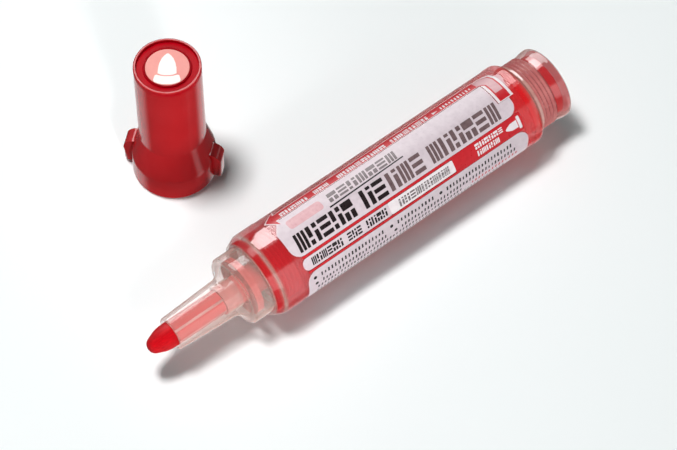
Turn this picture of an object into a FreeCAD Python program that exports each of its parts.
"""Whiteboard marker with a standing cap, a refill cartridge and a push pump in its tail.

Every turned piece is drawn as a half section in (radius, station) and turned about local Z.
Stations of the pen run from the nib tip towards the tail. Stations of the cap run from its
mouth to its top. The pen then lies along +X on its barrel and the cap stands on its mouth.
All sizes are in millimetres. The origin is under the middle of the whole layout.
"""
import FreeCAD, Part
import math
import os

from FreeCAD import Vector

# Layout on the table
cap_stand_x = 38.5  # cap axis behind the nib tip
cap_stand_y = 42.0  # cap axis beside the pen axis
cap_lug_turn = -51.0  # degrees, direction of the first cap lug

# Nib
nib_d = 6.0
nib_reach = 6.2  # felt in front of the nozzle
nib_length = 19.9
nib_tip_flat = 1.55  # radius lost between rod and tip corner
nib_taper = 4.0
nib_tip_round = 2.0
nib_taper_round = 8.0

# Nozzle, collar and skirt of the front section
nozzle_tip_wall = 0.7
nozzle_taper = 0.95  # radius gained from tip to root
nozzle_length = 18.2  # nozzle edge to collar edge
nozzle_flare_round = 4.2
nozzle_edge_round = 0.3
nib_air_gap = 0.35  # air passage round the felt
nib_rib_count = 6
nib_rib_width = 0.6
nib_rib_clearance = 0.02
collar_step = 0.3  # collar over barrel mouth
collar_length = 4.6
collar_chamfer = 0.5
section_ledge = 1.3  # ledge behind the collar edge
skirt_length = 3.1
skirt_wall = 1.1

# Barrel, sized from the outside in
barrel_d = 21.0
barrel_length = 79.3
barrel_wall = 1.3
mouth_step = 0.95  # main bore to mouth and to rear bore
lip_wall = 1.15  # lip round the mouth
rear_lip_wall = 1.0
barrel_lip_run = 2.4
barrel_lip_round = 1.2
edge_round = 0.25
shoulder_drop = 0.9
shoulder_round = 2.6
rear_bore_length = 7.4
bore_chamfer = 1.0
gasket_offset = 0.6  # barrel front face to gasket groove
gasket_width = 1.9
gasket_depth = 1.0
skirt_clearance = 0.05
gasket_clearance = 0.02

# Label film
label_front_offset = 7.5  # barrel front face to film
label_rear_offset = 3.1  # film to barrel rear face
label_film = 0.12

# Ink collector, its gasket and the feed wick
spigot_wall = 0.4  # spigot radius over the felt radius
spigot_clearance = 0.3
spigot_gap = 0.1  # felt to spigot
wick_d = 2.8
wick_clearance = 0.05
wick_reach = 0.5  # stops short of the spike tip
core_wall = 2.15
collector_flange_thickness = 1.2
collector_flange_clearance = 0.1
section_gasket_thickness = 0.5
section_gasket_width = 2.65
fin_clearance = 0.15
fin_count = 13
fin_pitch = 1.05
fin_thickness = 0.45
fin_gap = 0.4  # skirt end to first fin
air_slot_width = 0.6
neck_plug_length = 3.0
neck_plug_gap = 0.75
spike_wall = 0.75
spike_length = 2.9
spike_taper = 1.2

# Cartridge
neck_fit = 0.05
neck_wall = 0.95
neck_step = 1.35  # cartridge bore to neck bore
neck_overlap = 1.6  # neck bore over the collector plug
neck_seal_length = 2.0
neck_seal_step = 0.4
neck_seal_clearance = 0.1  # bore over the spike
cartridge_wall = 0.9
cartridge_shoulder = 1.4
end_cap_plug = 2.5
end_cap_flange = 1.0
air_port_d = 2.0
press_clearance = 0.02
ink_gap = 0.4

# Rear plug, its O-ring and the air valve
plug_clearance = 0.15
socket_wall = 0.88
socket_depth = 4.0
chamber_wall = 1.24
chamber_depth = 5.9  # barrel rear face to plug web
plug_web_gap = 1.2  # cartridge end to web
plug_web = 1.4
plug_flange_step = 0.3  # barrel rear lip to flange
plug_flange = 0.95
plug_seat_gap = 0.05
o_ring_width = 1.7
o_ring_depth = 1.0
o_ring_offset = 2.1  # barrel rear face to groove
o_ring_clearance = 0.03
valve_head_step = 1.6  # head radius over port radius
valve_head = 0.7
valve_bulb_step = 0.45
valve_bulb = 1.0
valve_gap = 0.05

# Pump bellows and button
neck_length = 5.2  # barrel rear face to button
bellows_wall = 0.6
bellows_pleat_depth = 0.5
bellows_pleats = 4
bellows_gap = 0.03
button_length = 4.0
button_flare = 0.45
button_wall = 1.2
button_floor = 1.6
button_edge_round = 0.7
piston_fit = 0.06
piston_wall = 1.1
piston_reach = 2.2  # piston inside the barrel rear face

# Cap, sized from what it closes over
cap_fit = 0.15  # mouth bore over the collar
cap_bell_wall = 1.25
cap_bell_height = 6.8
cap_bell_round = 5.0
cap_neck_height = 14.4
cap_neck_round = 3.0
cap_tube_wall = 1.45
cap_tube_draft = 0.05
cap_rim_round = 0.5
cap_mouth_depth = 6.5
cap_mouth_chamfer = 0.3
cap_tube_bore_start = 9.5
cap_nib_room = 7.08  # felt tip to the seal's end, when capped
cap_ceiling = 3.0
cap_top_lip = 0.6
cap_top_recess = 0.9
cap_ring_gap = 1.65  # rim lip to raised ring
cap_ring_wall = 0.45
cap_ring_height = 0.55
cap_disc_thickness = 0.75
cap_disc_pocket = 1.3
cap_disc_clearance = 0.05
cap_disc_round = 0.08
lug_width = 3.5
lug_reach = 1.8
lug_root = 1.2
lug_bottom = 0.5
lug_top = 9.3
lug_round = 3.2
lug_edge_round = 0.4
seal_room = 0.57  # nozzle root to seal
seal_clearance = 0.08
seal_start = 9.8
seal_wall = 0.7
seal_squeeze = 0.15
seal_lip_start = 1.1
seal_lip_width = 0.7
seal_lip_taper = 0.9
seal_lip_round = 0.2

# Stations along the pen
nozzle_front = nib_reach
collar_front = nozzle_front + nozzle_length
barrel_front = collar_front + collar_length
barrel_rear = barrel_front + barrel_length
button_front = barrel_rear + neck_length
tail = button_front + button_length
ledge = collar_front + section_ledge
skirt_end = barrel_front + skirt_length
film_front = barrel_front + label_front_offset
film_rear = barrel_rear - label_rear_offset
spigot_front = nib_length + spigot_gap
flange_front = ledge + section_gasket_thickness
flange_rear = flange_front + collector_flange_thickness
fins_front = skirt_end + fin_gap
fins_rear = fins_front + (fin_count - 1) * fin_pitch + fin_thickness
neck_plug_front = fins_rear + neck_plug_gap
neck_plug_rear = neck_plug_front + neck_plug_length
spike_tip = neck_plug_rear + spike_length
web_rear = barrel_rear - chamber_depth
web_front = web_rear - plug_web
end_cap_rear = web_front - plug_web_gap
cartridge_rear = end_cap_rear - end_cap_flange
cartridge_front = neck_plug_rear - neck_overlap
neck_seal_front = neck_plug_rear + press_clearance
neck_seal_rear = neck_seal_front + neck_seal_length
shoulder_rear = neck_seal_rear + cartridge_shoulder
ink_front = spike_tip + ink_gap
flange_seat = barrel_rear + plug_seat_gap
bellows_front = flange_seat + plug_flange + bellows_gap
bellows_rear = button_front - bellows_gap

# Radii of the front section and the barrel
nib_r = nib_d / 2
nib_bore_r = nib_r + nib_air_gap
nozzle_tip_r = nib_bore_r + nozzle_tip_wall
nozzle_root_r = nozzle_tip_r + nozzle_taper
barrel_r = barrel_d / 2
barrel_bore_r = barrel_r - barrel_wall
mouth_r = barrel_bore_r - mouth_step
rear_bore_r = barrel_bore_r - mouth_step
rear_lip_r = rear_bore_r + rear_lip_wall
collar_r = mouth_r + collar_step
skirt_r = mouth_r - skirt_clearance
skirt_bore_r = skirt_r - skirt_wall

# Radii of the collector, the cartridge and the rear plug
spigot_r = nib_r + spigot_wall
wick_bore_r = wick_d / 2 + wick_clearance
core_r = wick_bore_r + core_wall
spike_r = wick_bore_r + spike_wall
fin_r = mouth_r - fin_clearance
flange_r = skirt_bore_r - collector_flange_clearance
plug_r = rear_bore_r - plug_clearance
socket_r = plug_r - socket_wall
cartridge_r = socket_r - press_clearance
cartridge_bore_r = cartridge_r - cartridge_wall
neck_bore_r = cartridge_bore_r - neck_step
neck_seal_r = neck_bore_r - neck_seal_step
air_port_r = air_port_d / 2
chamber_r = plug_r - o_ring_depth - chamber_wall
piston_r = chamber_r - piston_fit
plug_flange_r = rear_lip_r - plug_flange_step

# Radii of the cap
cap_mouth_r = collar_r + cap_fit
cap_bell_r = cap_mouth_r + cap_bell_wall
seal_bore_r = nozzle_root_r + seal_room
seal_r = seal_bore_r + seal_wall
cap_tube_bore_r = seal_r + seal_clearance
cap_tube_r = cap_tube_bore_r + cap_tube_wall
cap_height = barrel_front + cap_nib_room + seal_wall + press_clearance + cap_ceiling

pen_x = -tail / 2
pen_y = (barrel_r - cap_bell_r - cap_stand_y) / 2


def rounded_corner(before, corner, after, radius, room):
    """Where a fillet starts, its middle and where it ends; a sharp corner has no middle."""
    if radius == 0:
        return corner, None, corner
    back = (before - corner).normalize()
    ahead = (after - corner).normalize()
    half = back.getAngle(ahead) / 2
    run = min(radius / math.tan(half), room)
    radius = run * math.tan(half)
    inward = (back + ahead).normalize()
    centre = corner + inward * (radius / math.sin(half))
    return corner + back * run, centre - inward * radius, corner + ahead * run


def fillet_room(corner, neighbour, neighbour_round):
    """Length of a side that a fillet may use: all of it, or half if its other end is round too."""
    side = (neighbour - corner).Length
    return side / 2 if neighbour_round else side


def outline(points):
    """Face in the XZ plane through (x, z) or (x, z, fillet) corners."""
    corners = [Vector(point[0], 0, point[1]) for point in points]
    rounds = [point[2] if len(point) == 3 else 0 for point in points]
    count = len(points)
    spans = []
    for i in range(count):
        following = (i + 1) % count
        room = min(
            fillet_room(corners[i], corners[i - 1], rounds[i - 1]),
            fillet_room(corners[i], corners[following], rounds[following]),
        )
        spans.append(
            rounded_corner(corners[i - 1], corners[i], corners[following], rounds[i], room)
        )
    edges = []
    for i, (start, middle, end) in enumerate(spans):
        if middle is not None:
            edges.append(Part.Arc(start, middle, end).toShape())
        next_start = spans[(i + 1) % count][0]
        if (next_start - end).Length > 1e-6:
            edges.append(Part.makeLine(end, next_start))
    return Part.Face(Part.Wire(edges))


def turned(points):
    """Solid turned about local Z from a half section in (radius, station)."""
    return outline(points).revolve(Vector(0, 0, 0), Vector(0, 0, 1), 360)


def ring(inner_r, outer_r, low, high, fillet=0):
    """Plain turned ring or washer."""
    return turned([
        (inner_r, low, fillet), (outer_r, low, fillet),
        (outer_r, high, fillet), (inner_r, high, fillet),
    ])


def nib():
    """Bullet felt rod with a rounded point."""
    return turned([
        (0, 0),
        (nib_r - nib_tip_flat, 0, nib_tip_round),
        (nib_r, nib_taper, nib_taper_round),
        (nib_r, nib_length),
        (0, nib_length),
    ])


def nib_ribs():
    """Lengthwise ribs in the nozzle that grip the felt and leave air passages."""
    inner = nib_r + nib_rib_clearance
    depth = nib_air_gap + nozzle_edge_round
    length = nib_length - nozzle_front - nozzle_edge_round
    ribs = []
    for i in range(nib_rib_count):
        rib = Part.makeBox(depth, nib_rib_width, length)
        rib.translate(Vector(inner, -nib_rib_width / 2, nozzle_front + nozzle_edge_round))
        rib.rotate(Vector(0, 0, 0), Vector(0, 0, 1), i * 360 / nib_rib_count)
        ribs.append(rib)
    return ribs


def front_section():
    """Nozzle, collar and skirt in one moulding, with ribs round the felt."""
    spigot_bore_r = spigot_r + spigot_clearance
    body = turned([
        (nozzle_tip_r, nozzle_front, nozzle_edge_round),
        (nozzle_root_r, collar_front - collar_chamfer, nozzle_flare_round),
        (collar_r - collar_chamfer, collar_front - collar_chamfer),
        (collar_r, collar_front),
        (collar_r, barrel_front),
        (skirt_r, barrel_front),
        (skirt_r, skirt_end),
        (skirt_bore_r, skirt_end),
        (skirt_bore_r, ledge),
        (spigot_bore_r, ledge),
        (spigot_bore_r, nib_length),
        (nib_bore_r, nib_length),
        (nib_bore_r, nozzle_front),
    ])
    return body.multiFuse(nib_ribs())


def section_gasket():
    """Flat washer between the section ledge and the collector flange."""
    return ring(flange_r - section_gasket_width, flange_r, ledge, flange_front)


def ink_collector():
    """Finned ink buffer with a nib spigot in front and a cartridge spike behind."""
    neck_plug_r = neck_bore_r - neck_fit
    points = [
        (wick_bore_r, spigot_front),
        (spigot_r, spigot_front),
        (spigot_r, flange_front),
        (flange_r, flange_front),
        (flange_r, flange_rear),
        (core_r, flange_rear),
    ]
    for i in range(fin_count):
        low = fins_front + i * fin_pitch
        high = low + fin_thickness
        points += [(core_r, low), (fin_r, low), (fin_r, high), (core_r, high)]
    points += [
        (core_r, neck_plug_front),
        (neck_plug_r, neck_plug_front),
        (neck_plug_r, neck_plug_rear),
        (spike_r, neck_plug_rear),
        (spike_r, spike_tip - spike_taper),
        (wick_bore_r + wick_clearance, spike_tip),
        (wick_bore_r, spike_tip),
    ]
    slot = Part.makeBox(fin_r, air_slot_width, fins_rear - flange_rear)
    slot.translate(Vector(core_r, -air_slot_width / 2, flange_rear))
    return turned(points).cut(slot)


def feed_wick():
    """Fibre rod that carries ink from the spike to the felt."""
    length = spike_tip - wick_reach - nib_length
    return Part.makeCylinder(wick_d / 2, length, Vector(0, 0, nib_length))


def barrel():
    """Long translucent tube with a gasket groove in front and a plug bore behind."""
    groove_front = barrel_front + gasket_offset
    groove_rear = groove_front + gasket_width
    groove_r = mouth_r + gasket_depth
    film_seat_r = barrel_r - label_film
    rear_bore_front = barrel_rear - rear_bore_length
    return turned([
        (mouth_r + lip_wall, barrel_front, edge_round),
        (barrel_r, barrel_front + barrel_lip_run, barrel_lip_round),
        (barrel_r, film_front),
        (film_seat_r, film_front),
        (film_seat_r, film_rear),
        (barrel_r, film_rear),
        (barrel_r, barrel_rear - shoulder_drop, shoulder_round),
        (rear_lip_r, barrel_rear, edge_round),
        (rear_bore_r, barrel_rear),
        (rear_bore_r, rear_bore_front),
        (barrel_bore_r, rear_bore_front - bore_chamfer),
        (barrel_bore_r, skirt_end + bore_chamfer),
        (mouth_r, skirt_end),
        (mouth_r, groove_rear),
        (groove_r, groove_rear),
        (groove_r, groove_front),
        (mouth_r, groove_front),
        (mouth_r, barrel_front),
    ])


def barrel_gasket():
    """Red seal in the groove between barrel and skirt."""
    low = barrel_front + gasket_offset + gasket_clearance
    high = barrel_front + gasket_offset + gasket_width - gasket_clearance
    outer = mouth_r + gasket_depth - gasket_clearance
    return ring(skirt_r + gasket_clearance, outer, low, high, edge_round)


def label_film_sleeve():
    """Printed film wrapped round its shallow seat, flush with the barrel."""
    return ring(barrel_r - label_film, barrel_r, film_front, film_rear)


def cartridge_tube():
    """Ink tube with a narrow neck over the collector plug."""
    neck_r = neck_bore_r + neck_wall
    return turned([
        (neck_bore_r, cartridge_front),
        (neck_r, cartridge_front),
        (neck_r, neck_seal_rear - cartridge_wall),
        (cartridge_r, shoulder_rear - cartridge_wall),
        (cartridge_r, cartridge_rear),
        (cartridge_bore_r, cartridge_rear),
        (cartridge_bore_r, shoulder_rear),
        (neck_seal_r, neck_seal_rear),
        (neck_seal_r, neck_seal_front),
        (neck_bore_r, neck_seal_front),
    ])


def cartridge_neck_seal():
    """Grommet in the neck, round the spike."""
    return ring(spike_r + neck_seal_clearance, neck_seal_r, neck_seal_front, neck_seal_rear)


def cartridge_end_cap():
    """Plug in the cartridge tail, with an air port through it."""
    plug = cartridge_bore_r - press_clearance
    return turned([
        (air_port_r, cartridge_rear - end_cap_plug),
        (plug, cartridge_rear - end_cap_plug),
        (plug, cartridge_rear),
        (cartridge_r, cartridge_rear),
        (cartridge_r, end_cap_rear),
        (air_port_r, end_cap_rear),
    ])


def ink_charge():
    """Ink that fills the cartridge behind the spike."""
    ink_r = cartridge_bore_r - press_clearance
    return turned([
        (0, ink_front),
        (neck_seal_r - press_clearance, ink_front),
        (ink_r, shoulder_rear + press_clearance),
        (ink_r, cartridge_rear - end_cap_plug),
        (0, cartridge_rear - end_cap_plug),
    ])


def rear_plug():
    """Plug that closes the barrel, holds the cartridge tail and forms the pump chamber."""
    groove_rear = barrel_rear - o_ring_offset
    groove_front = groove_rear - o_ring_width
    flange_rear_face = flange_seat + plug_flange
    return turned([
        (socket_r, cartridge_rear - socket_depth),
        (plug_r, cartridge_rear - socket_depth, edge_round),
        (plug_r, groove_front),
        (plug_r - o_ring_depth, groove_front),
        (plug_r - o_ring_depth, groove_rear),
        (plug_r, groove_rear),
        (plug_r, flange_seat),
        (plug_flange_r, flange_seat, edge_round),
        (plug_flange_r, flange_rear_face, edge_round),
        (chamber_r, flange_rear_face),
        (chamber_r, web_rear),
        (air_port_r, web_rear),
        (air_port_r, web_front),
        (socket_r, web_front),
    ])


def plug_o_ring():
    """Seal in the groove of the rear plug."""
    inner = plug_r - o_ring_depth
    low = barrel_rear - o_ring_offset - o_ring_width + o_ring_clearance
    high = barrel_rear - o_ring_offset - o_ring_clearance
    fillet = (high - low) / 4
    return ring(inner, rear_bore_r - o_ring_clearance, low, high, fillet)


def air_valve():
    """Umbrella valve: a head before the web, a stem through it and a bulb behind it."""
    stem_r = air_port_r - valve_gap
    head_r = air_port_r + valve_head_step
    head_rear = web_front - valve_gap
    bulb_front = web_rear + valve_gap
    return turned([
        (0, head_rear - valve_head),
        (head_r, head_rear - valve_head),
        (head_r, head_rear),
        (stem_r, head_rear),
        (stem_r, bulb_front),
        (air_port_r + valve_bulb_step, bulb_front),
        (stem_r, bulb_front + valve_bulb),
        (0, bulb_front + valve_bulb),
    ])


def pump_bellows():
    """Pleated elastic sleeve between the rear plug and the button."""
    pitch = (bellows_rear - bellows_front) / bellows_pleats
    valley_r = plug_flange_r - bellows_pleat_depth
    bore_r = valley_r - bellows_wall
    points = [(bore_r, bellows_front)]
    for i in range(bellows_pleats):
        low = bellows_front + i * pitch
        points += [
            (valley_r, low),
            (plug_flange_r, low + pitch / 2, pitch / 8),
        ]
    points += [(valley_r, bellows_rear), (bore_r, bellows_rear)]
    return turned(points)


def pump_button():
    """Flared push cup closed at the tail, with a hollow piston inside."""
    front_r = plug_flange_r - edge_round
    rear_r = front_r + button_flare
    floor = tail - button_floor
    piston_front = barrel_rear - piston_reach
    return turned([
        (front_r - button_wall, button_front),
        (front_r, button_front, edge_round),
        (rear_r, tail - button_edge_round * 2, button_edge_round),
        (rear_r, tail, button_edge_round),
        (0, tail),
        (0, floor),
        (piston_r - piston_wall, floor),
        (piston_r - piston_wall, piston_front),
        (piston_r, piston_front),
        (piston_r, floor),
        (rear_r - button_wall, floor),
    ])


def cap_lug():
    """One anti-roll lug on the cap bell, with a rounded top."""
    root = cap_bell_r - lug_root
    reach = cap_bell_r + lug_reach
    face = outline([
        (root, lug_bottom), (reach, lug_bottom, lug_edge_round),
        (reach, lug_top, lug_round), (root, lug_top),
    ])
    face.translate(Vector(0, -lug_width / 2, 0))
    return face.extrude(Vector(0, lug_width, 0))


def cap_shell():
    """Cap moulding: bell mouth, tube, recessed top with a ring, and two opposite lugs."""
    recess_r = cap_tube_r - cap_top_lip
    top_floor = cap_height - cap_top_recess
    ring_top = top_floor + cap_ring_height
    ring_r = recess_r - cap_ring_gap
    pocket_r = ring_r - cap_ring_wall
    pocket_floor = cap_height - cap_disc_pocket
    ceiling = cap_height - cap_ceiling
    body = turned([
        (cap_mouth_r + cap_mouth_chamfer, 0),
        (cap_bell_r, 0, cap_rim_round),
        (cap_bell_r, cap_bell_height, cap_bell_round),
        (cap_tube_r + cap_tube_draft, cap_neck_height, cap_neck_round),
        (cap_tube_r, cap_height, edge_round),
        (recess_r, cap_height),
        (recess_r, top_floor),
        (ring_r, top_floor),
        (ring_r, ring_top),
        (pocket_r, ring_top),
        (pocket_r, pocket_floor),
        (0, pocket_floor),
        (0, ceiling),
        (cap_tube_bore_r, ceiling),
        (cap_tube_bore_r, cap_tube_bore_start),
        (cap_mouth_r, cap_mouth_depth),
        (cap_mouth_r, cap_mouth_chamfer),
    ])
    first = cap_lug()
    second = cap_lug()
    second.rotate(Vector(0, 0, 0), Vector(0, 0, 1), 180)
    return body.multiFuse([first, second])


def nozzle_r(station):
    """Outer radius of the nozzle's cone at a station."""
    share = (station - nozzle_front) / (nozzle_length - collar_chamfer)
    return nozzle_tip_r + nozzle_taper * share


def cap_inner_seal():
    """Soft inner cup with a lip that closes round the nozzle."""
    top = cap_height - cap_ceiling - press_clearance
    lip_low = seal_start + seal_lip_start
    lip_high = lip_low + seal_lip_width
    lip_r = nozzle_r(barrel_front - lip_low) - seal_squeeze
    return turned([
        (seal_bore_r, seal_start),
        (seal_r, seal_start),
        (seal_r, top),
        (0, top),
        (0, top - seal_wall),
        (seal_bore_r, top - seal_wall),
        (seal_bore_r, lip_high + seal_lip_taper),
        (lip_r, lip_high, seal_lip_round),
        (lip_r, lip_low, seal_lip_round),
    ])


def cap_top_disc():
    """Printed disc pressed into the ring on the cap top."""
    low = cap_height - cap_disc_pocket + press_clearance
    high = low + cap_disc_thickness
    pocket_r = cap_tube_r - cap_top_lip - cap_ring_gap - cap_ring_wall
    disc_r = pocket_r - cap_disc_clearance
    return turned([(0, low), (disc_r, low), (disc_r, high, cap_disc_round), (0, high)])


def laid_on_barrel(shape):
    """Lays a pen piece along +X, at barrel height above the table."""
    shape.rotate(Vector(0, 0, 0), Vector(0, 1, 0), 90)
    shape.translate(Vector(pen_x, pen_y, barrel_r))
    return shape


def stood_on_mouth(shape):
    """Stands a cap piece on the table beside the pen."""
    shape.rotate(Vector(0, 0, 0), Vector(0, 0, 1), cap_lug_turn)
    shape.translate(Vector(pen_x + cap_stand_x, pen_y + cap_stand_y, 0))
    return shape


pen_pieces = {
    "nib": nib,
    "front_section": front_section,
    "section_gasket": section_gasket,
    "ink_collector": ink_collector,
    "feed_wick": feed_wick,
    "barrel": barrel,
    "barrel_gasket": barrel_gasket,
    "label_film": label_film_sleeve,
    "cartridge_tube": cartridge_tube,
    "cartridge_neck_seal": cartridge_neck_seal,
    "cartridge_end_cap": cartridge_end_cap,
    "ink_charge": ink_charge,
    "rear_plug": rear_plug,
    "plug_o_ring": plug_o_ring,
    "air_valve": air_valve,
    "pump_bellows": pump_bellows,
    "pump_button": pump_button,
}
cap_pieces = {
    "cap_shell": cap_shell,
    "cap_inner_seal": cap_inner_seal,
    "cap_top_disc": cap_top_disc,
}

os.makedirs("parts", exist_ok=True)
for name, make in pen_pieces.items():
    laid_on_barrel(make()).exportStep(f"parts/{name}.step")
for name, make in cap_pieces.items():
    stood_on_mouth(make()).exportStep(f"parts/{name}.step")
